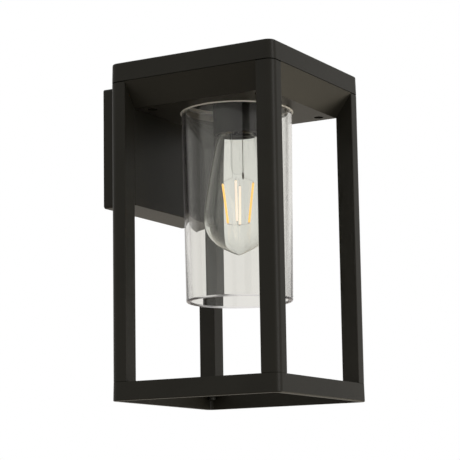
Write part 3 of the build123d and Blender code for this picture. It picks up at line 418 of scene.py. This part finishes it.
def smooth_line(points, steps=6):
    """A Catmull-Rom curve through 2-D or 3-D points."""
    points = [Vector(point) for point in points]
    padded = [2 * points[0] - points[1], *points, 2 * points[-1] - points[-2]]
    line = []
    for before, start, end, after in zip(padded, padded[1:], padded[2:], padded[3:]):
        for step in range(steps):
            t = step / steps
            line.append(
                0.5
                * (
                    2 * start
                    + (end - before) * t
                    + (2 * before - 5 * start + 4 * end - after) * t**2
                    + (3 * start - before - 3 * end + after) * t**3
                )
            )
    line.append(points[-1])
    return line


def tube(name, line, radius, material, sides=12):
    """A round wire or rod along a line of points. radius may be a function of the share of its length."""
    thickness = radius if callable(radius) else lambda share: radius
    line = [Vector(point) for point in line]
    vertices = []
    faces = []
    side = (line[1] - line[0]).orthogonal().normalized()
    for index, point in enumerate(line):
        along = (line[min(index + 1, len(line) - 1)] - line[max(index - 1, 0)]).normalized()
        side = (side - along * side.dot(along)).normalized()
        other = along.cross(side)
        size = thickness(index / (len(line) - 1))
        for step in range(sides):
            turn = 2 * math.pi * step / sides
            vertices.append(point + size * (math.cos(turn) * side + math.sin(turn) * other))
    for ring in range(len(line) - 1):
        for step in range(sides):
            after = (step + 1) % sides
            base = ring * sides
            faces.append((base + step, base + after, base + sides + after, base + sides + step))
    faces.append(tuple(reversed(range(sides))))
    faces.append(tuple(range((len(line) - 1) * sides, len(line) * sides)))
    return add_mesh(name, vertices, faces, material)


def join(name, pieces):
    """Joins pieces into one object."""
    first = pieces[0]
    with bpy.context.temp_override(active_object=first, selected_editable_objects=pieces, object=first):
        bpy.ops.object.join()
    pieces[0].name = name
    return pieces[0]


def dress(node, material):
    """Gives a CAD node its finished material."""
    mesh = frame["nodes"][node].data
    mesh.materials.clear()
    mesh.materials.append(material)


# ------------------------------------------------------------------------------------------------
# Glass tube, seal and socket cover
# ------------------------------------------------------------------------------------------------

GLASS_WALL = 4.0 * MM
GLASS_TAPER = 2.5 * MM  # narrower at the bottom than at the top, in radius
GLASS_RIM = 1.7 * MM


def make_glass_tube(material, rim_material):
    """The clear tube, with fire-polished rims."""
    top_radius = (GLASS_HIGH.x - GLASS_LOW.x) / 2
    bottom_radius = top_radius - GLASS_TAPER
    corners = [
        (bottom_radius, GLASS_LOW.z),
        (top_radius, GLASS_HIGH.z),
        (top_radius - GLASS_WALL, GLASS_HIGH.z),
        (bottom_radius - GLASS_WALL, GLASS_LOW.z),
    ]
    profile = rounded(corners, {0: GLASS_RIM, 1: GLASS_RIM, 2: GLASS_RIM, 3: GLASS_RIM}, steps=8)
    piece = lathe("clear_tube", profile, material, segments=192)
    piece.data.materials.append(rim_material)
    for polygon in piece.data.polygons:
        if min(polygon.center.z - GLASS_LOW.z, GLASS_HIGH.z - polygon.center.z) < GLASS_RIM:
            polygon.material_index = 1
    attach(piece, "glass")
    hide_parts("glass_tube")


SEAL_LIP = 0.35 * MM  # how far the visible lip stands out past the glass
SEAL_LIP_HEIGHT = 1.2 * MM
SEAL_GAP = 0.15 * MM
SEAL_ROOF_GAP = 0.3 * MM


def make_seal(material):
    """The pale ring that seats the top of the glass in the tray, with a thin rounded lip below it."""
    glass_radius = (GLASS_HIGH.x - GLASS_LOW.x) / 2
    inside = glass_radius + SEAL_GAP
    outside = (SEAL_HIGH.x - SEAL_LOW.x) / 2
    bore = glass_radius - GLASS_WALL
    roof = GLASS_HIGH.z + SEAL_ROOF_GAP
    corners = [
        (inside, SEAL_LOW.z),
        (glass_radius + SEAL_LIP, SEAL_LOW.z),
        (glass_radius + SEAL_LIP, SEAL_LOW.z + SEAL_LIP_HEIGHT),
        (outside, SEAL_LOW.z + SEAL_LIP_HEIGHT),
        (outside, SEAL_HIGH.z),
        (bore, SEAL_HIGH.z),
        (bore, roof),
        (inside, roof),
    ]
    profile = rounded(corners, {0: 0.2 * MM, 1: 0.25 * MM}, steps=5)
    piece = lathe("tube_seal", profile, material, segments=192)
    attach(piece, "lantern")
    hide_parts("glass_seal")


COVER_NECK = 1.4 * MM  # how far the neck stands inside the cup's wall
COVER_WALL = 2.7 * MM
COVER_LIP = 0.3 * MM
COVER_EDGE = 2.3 * MM


def make_socket_cover(material):
    """The plain cup round the lampholder, with its rounded lower edge."""
    outer = (COVER_HIGH.x - COVER_LOW.x) / 2
    neck = outer - COVER_NECK
    bore = outer - COVER_WALL
    corners = [
        (bore, COVER_LOW.z),
        (outer, COVER_LOW.z),
        (outer, SEAL_HIGH.z),
        (neck, SEAL_HIGH.z),
        (neck, COVER_HIGH.z),
        (bore, COVER_HIGH.z),
    ]
    profile = rounded(corners, {0: COVER_LIP, 1: COVER_EDGE, 2: COVER_LIP}, steps=8)
    piece = lathe("lampholder_cup", profile, material)
    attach(piece, "lantern")
    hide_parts("socket_cover")


# ------------------------------------------------------------------------------------------------
# Lamp
# ------------------------------------------------------------------------------------------------

# Half outline of the lamp's envelope, (radius, height) in millimetres, from the tip to the cap
ENVELOPE = (
    (0.0, -100.0),
    (3.2, -99.0),
    (9.0, -96.4),
    (19.5, -90.6),
    (27.5, -82.5),
    (31.4, -73.0),
    (32.0, -64.0),
    (30.6, -52.0),
    (27.3, -33.0),
    (23.1, -12.0),
    (19.3, 5.0),
    (17.4, 10.3),
    (13.6, 13.6),
    (12.4, 15.0),
)
ENVELOPE_WALL = 0.9


def make_envelope(material):
    """The blown teardrop envelope, a thin shell with its small tip."""
    outer = smooth_line(ENVELOPE, steps=7)
    outer[0] = Vector((0.0, ENVELOPE[0][1]))
    inner = []
    for index, point in enumerate(outer):
        along = (outer[min(index + 1, len(outer) - 1)] - outer[max(index - 1, 0)]).normalized()
        inward = Vector((-along.y, along.x))
        inner.append(point + inward * ENVELOPE_WALL)
    inner[0] = Vector((0.0, ENVELOPE[0][1] + ENVELOPE_WALL))
    inner[-1] = Vector((ENVELOPE[-1][0] - ENVELOPE_WALL, ENVELOPE[-1][1]))
    profile = [(max(x, 0.0) * MM, z * MM) for x, z in outer]
    profile += [(max(x, 0.0) * MM, z * MM) for x, z in reversed(inner)]
    piece = lathe("lamp_envelope", profile, material, closed=False, segments=144)
    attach(piece, "lamp")
    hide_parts("bulb_glass")


CAP_PITCH = 3.62 * MM
CAP_STEPS = 96
CAP_ROWS = 60
CAP_THREAD_DEPTH = 1.0 * MM
CAP_SHOULDER_DEPTH = 3.0 * MM
CAP_SHEET = 0.35 * MM
# Shares of the cap's height over which the thread fades in and out, and the shoulder rounds over
CAP_RUN_IN = 0.12
CAP_RUN_OUT = 0.16
CAP_SHOULDER = 0.07
CAP_SHOULDER_START = 0.93


def make_cap(material):
    """The E27 cap: a rolled thread on a helix, with a plain rim and shoulder."""
    crest = (CAP_HIGH.x - CAP_LOW.x) / 2
    root = crest - CAP_THREAD_DEPTH
    vertices = []
    faces = []
    for row in range(CAP_ROWS + 1):
        height = CAP_LOW.z + (CAP_HIGH.z - CAP_LOW.z) * row / CAP_ROWS
        share = row / CAP_ROWS
        ends = min(1.0, share / CAP_RUN_IN) * min(1.0, (1.0 - share) / CAP_RUN_OUT)
        for step in range(CAP_STEPS):
            turn = 2 * math.pi * step / CAP_STEPS
            wave = 0.5 + 0.5 * math.cos(2 * math.pi * (height - CAP_LOW.z) / CAP_PITCH - turn)
            radius = root + (crest - root) * wave * ends
            shoulder = max(0.0, (share - CAP_SHOULDER_START) / CAP_SHOULDER)
            radius -= CAP_SHOULDER_DEPTH * shoulder**2
            vertices.append((AXIS_X + radius * math.cos(turn), AXIS_Y + radius * math.sin(turn), height))
    for row in range(CAP_ROWS):
        for step in range(CAP_STEPS):
            after = (step + 1) % CAP_STEPS
            base = row * CAP_STEPS
            faces.append((base + step, base + after, base + CAP_STEPS + after, base + CAP_STEPS + step))
    piece = add_mesh("threaded_cap", vertices, faces, material, smooth_angle=60.0)
    thickness = piece.modifiers.new("sheet", "SOLIDIFY")
    thickness.thickness = CAP_SHEET
    thickness.offset = -1.0
    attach(piece, "lamp")
    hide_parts("bulb_cap")


FILAMENT_COUNT = 4
CAGE_TURN = 68.0
FILAMENT_TOP = (14.6, -32.5)
FILAMENT_BOTTOM = (9.8, -71.0)
FILAMENT_RADIUS = 0.95
STEM_TIP = -26.0
STEM_FOOT = 18.8
LEAD = 5.0  # radius of the lead wires, and of the inner ends of the arms
ROD_STEPS = 40
ROD_START = 0.015  # shares of the distance between the cage's points
ROD_SPAN = 0.97
ROD_TIP = 0.03
ROD_END_FILL = 0.05  # keeps the end face from closing to a point
CLIP_RADIUS = 0.5 * MM


def cage_point(index, radius, height):
    """A point of the filament cage, in metres, from its radius and height in millimetres."""
    turn = math.radians(90.0 * index - CAGE_TURN)
    x = AXIS_X + radius * MM * math.cos(turn)
    y = AXIS_Y + radius * MM * math.sin(turn)
    return Vector((x, y, height * MM))


def rod_shape(share):
    """Radius of a filament along its length: full, with rounded ends."""
    end = min(share, 1.0 - share) / ROD_TIP
    fullness = 1.0 if end >= 1.0 else math.sqrt(max(ROD_END_FILL, 1.0 - (1.0 - end) ** 2))
    return FILAMENT_RADIUS * MM * fullness


def make_filaments(phosphors, metal):
    """Four glowing rods in two shades, each with a metal clip at both ends."""
    rods = []
    clips = []
    for index in range(FILAMENT_COUNT):
        top = cage_point(index, *FILAMENT_TOP)
        bottom = cage_point(index, *FILAMENT_BOTTOM)
        line = [top.lerp(bottom, ROD_START + ROD_SPAN * step / ROD_STEPS) for step in range(ROD_STEPS + 1)]
        rods.append(tube(f"rod_{index}", line, rod_shape, phosphors[index % 2], sides=14))
        for end, away in ((top, bottom), (bottom, top)):
            clip = [end.lerp(away, share) for share in (0.0, ROD_TIP)]
            clips.append(tube(f"clip_{index}", clip, CLIP_RADIUS, metal, sides=8))
    rods = join("filament_rods", rods)
    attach(rods, "lamp")
    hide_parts("filaments")
    return clips


ARM_RADIUS = 0.16 * MM
ARM_BEND = (10.0, 2.5)  # radius of the arm's bend, and its rise above the top of the rod
FOOT_RADIUS = 0.2 * MM
FOOT_DROP = 0.6
FOOT_BEND = 5.0
DARK_LEAD = 0.32
PALE_LEAD = 0.13


def weld_shape(share):
    """Radius of the weld where a lead wire ends: a small spindle."""
    return (0.35 + 0.65 * math.sin(math.pi * share)) * MM


def make_filament_wires(clips, metal, dark_metal, pale_metal):
    """The stem's lead wires, thin arms to the tops of the rods, and a bowed cross under their feet."""
    wires = list(clips)
    foot_z = FILAMENT_BOTTOM[1] - FOOT_DROP
    for index in range(FILAMENT_COUNT):
        arm = [
            cage_point(index, LEAD, STEM_TIP - 2.0),
            cage_point(index, ARM_BEND[0], FILAMENT_TOP[1] + ARM_BEND[1]),
            cage_point(index, FILAMENT_TOP[0] - 0.3, FILAMENT_TOP[1] + 0.3),
        ]
        wires.append(tube(f"arm_{index}", smooth_line(arm), ARM_RADIUS, metal, sides=8))
        foot = [
            cage_point(index, 0.0, foot_z),
            cage_point(index, FOOT_BEND, foot_z - 0.2),
            cage_point(index, FILAMENT_BOTTOM[0], foot_z + 0.7),
        ]
        wires.append(tube(f"foot_{index}", smooth_line(foot), FOOT_RADIUS, metal, sides=8))
    for index, size, lead_metal in ((0, DARK_LEAD, dark_metal), (2, PALE_LEAD, pale_metal)):
        line = [cage_point(index, LEAD, height) for height in (STEM_FOOT, 0.0, STEM_TIP - 2.0)]
        wires.append(tube(f"lead_{index}", smooth_line(line), size * MM, lead_metal, sides=8))
    weld = [cage_point(0, LEAD, STEM_TIP + rise) for rise in (3.0, -0.5, -4.0)]
    wires.append(tube("weld", smooth_line(weld), weld_shape, dark_metal, sides=10))
    wires = join("support_wires", wires)
    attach(wires, "lamp")
    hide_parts("filament_wires")


# Half outline of the stem, (radius, height) in millimetres, from its domed tip to the flare in the neck
STEM_OUTLINE = (
    (0.0, -26.0),
    (3.4, -25.2),
    (5.7, -22.6),
    (6.4, -18.5),
    (6.5, -6.0),
    (6.5, 7.0),
    (7.2, 12.5),
    (9.3, 18.6),
)
STEM_WALL = 0.7
STEM_DOME = -20.0


def make_stem(material):
    """The hollow glass stem: a flare sealed into the neck, a tube and a domed tip."""
    outside = smooth_line(STEM_OUTLINE, steps=6)
    inside = []
    for point in outside:
        rise = STEM_WALL if point.y < STEM_DOME else 0.0
        inside.append(Vector((max(point.x - STEM_WALL, 0.0), point.y + rise)))
    profile = [(max(x, 0.0) * MM, z * MM) for x, z in outside]
    profile += [(x * MM, z * MM) for x, z in reversed(inside)]
    piece = lathe("glass_stem", profile, material, closed=False, segments=48)
    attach(piece, "lamp")
    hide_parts("bulb_stem")


# ------------------------------------------------------------------------------------------------
# Putting it together
# ------------------------------------------------------------------------------------------------

make_camera()
make_floor()
make_world()
bpy.context.scene.view_settings.view_transform = "Standard"
LANTERN_MIDDLE = (0.0, -0.1, -0.05)
WARM = (1.0, 0.89, 0.68)
NEUTRAL = (1.0, 0.98, 0.95)
make_softbox("key_light", (-0.15, -2.1, 0.35), LANTERN_MIDDLE, 0.9, 1.8, 16.0, NEUTRAL)
make_softbox("low_light", (1.2, -0.9, -1.05), LANTERN_MIDDLE, 0.9, 0.9, 9.0, WARM)
make_softbox("top_light", (-0.3, -0.6, 2.2), LANTERN_MIDDLE, 1.6, 1.6, 10.0, NEUTRAL)

coat = powder_coat()
steel = bare_metal("zinc_steel", (0.50, 0.505, 0.51), (0.56, 0.56, 0.55), 0.4, 0.0012, (6.0, 1.0, 1.0))
stainless = bare_metal("stainless", (0.5, 0.5, 0.49), (0.66, 0.65, 0.63), 0.3, 0.0012)
black_steel = bare_metal(
    "black_steel", (0.03, 0.03, 0.03), (0.06, 0.06, 0.055), 0.45, 0.0012, metallic=0.8
)
nickel = bare_metal("nickel", (0.56, 0.53, 0.48), (0.74, 0.72, 0.67), 0.22, 0.003)
brass = bare_metal("brass", (0.55, 0.39, 0.15), (0.78, 0.6, 0.28), 0.3, 0.002)
pale_silicone = silicone("pale_silicone", (0.90, 0.88, 0.83), 0.5)
grommet_rubber = silicone("grommet_rubber", (0.03, 0.03, 0.03), 0.0)
porcelain = moulded("porcelain", (0.76, 0.75, 0.71), (0.85, 0.84, 0.8), 0.25, coat=0.6)
block_plastic = moulded("block_plastic", (0.78, 0.76, 0.7), (0.84, 0.82, 0.77))
black_glass = moulded("cap_insulator", (0.01, 0.01, 0.012), (0.02, 0.02, 0.022), 0.15, coat=0.5)
brown = moulded("brown_wire", (0.12, 0.045, 0.02), (0.16, 0.065, 0.03), 0.35)
blue = moulded("blue_wire", (0.02, 0.09, 0.4), (0.03, 0.12, 0.48), 0.35)
green = moulded("earth_wire", (0.08, 0.36, 0.05), (0.5, 0.5, 0.04), 0.35)

FINISHES = {
    "black_powder_coat": coat,
    "zinc_steel": steel,
    "stainless_screws": stainless,
    "black_screws": black_steel,
    "silicone": pale_silicone,
    "grommet_rubber": grommet_rubber,
    "porcelain": porcelain,
    "nickel_cap": nickel,
    "cap_insulator": black_glass,
    "solder": stainless,
    "terminal_brass": brass,
    "block_plastic": block_plastic,
    "brown_wire": brown,
    "blue_wire": blue,
    "earth_green": green,
}
for subpart in frame["record"]["subparts"]:
    if subpart["material_slot"] in FINISHES:
        dress(subpart["node"], FINISHES[subpart["material_slot"]])

LAVENDER = (0.93, 0.91, 1.0)
GREENISH = (0.96, 1.0, 0.93)
tube_glass = clear_glass("tube_glass", (0.975, 0.975, 0.96), ior=1.45, haze=0.3, haze_tint=LAVENDER)
ground_rim = clear_glass(
    "ground_rim", (0.98, 0.97, 0.985), roughness=0.35, ior=1.25, haze=0.8, haze_tint=LAVENDER
)
make_glass_tube(tube_glass, ground_rim)
make_seal(pale_silicone)
make_socket_cover(cover_plastic())
lamp_glass = clear_glass(
    "lamp_glass", (0.985, 0.995, 0.98), 0.000002, ior=1.35, haze=0.8, haze_tint=GREENISH
)
make_envelope(lamp_glass)
make_stem(clear_glass("stem_glass", (0.99, 0.99, 0.985), ior=1.02))
make_cap(nickel)
phosphors = (
    glowing_filament("amber_phosphor", (1.0, 0.60, 0.14), (1.0, 0.72, 0.26), (1.0, 0.56, 0.12), 1.0),
    glowing_filament("pale_phosphor", (1.0, 0.84, 0.66), (1.0, 0.90, 0.76), (1.0, 0.82, 0.66), 0.9),
)
dark_wire = bare_metal("oxidised_wire", (0.10, 0.075, 0.05), (0.2, 0.15, 0.11), 0.45, 0.002)
pale_wire = moulded("pale_wire", (0.86, 0.85, 0.81), (0.92, 0.91, 0.87), 0.5)
make_filament_wires(make_filaments(phosphors, nickel), nickel, dark_wire, pale_wire)
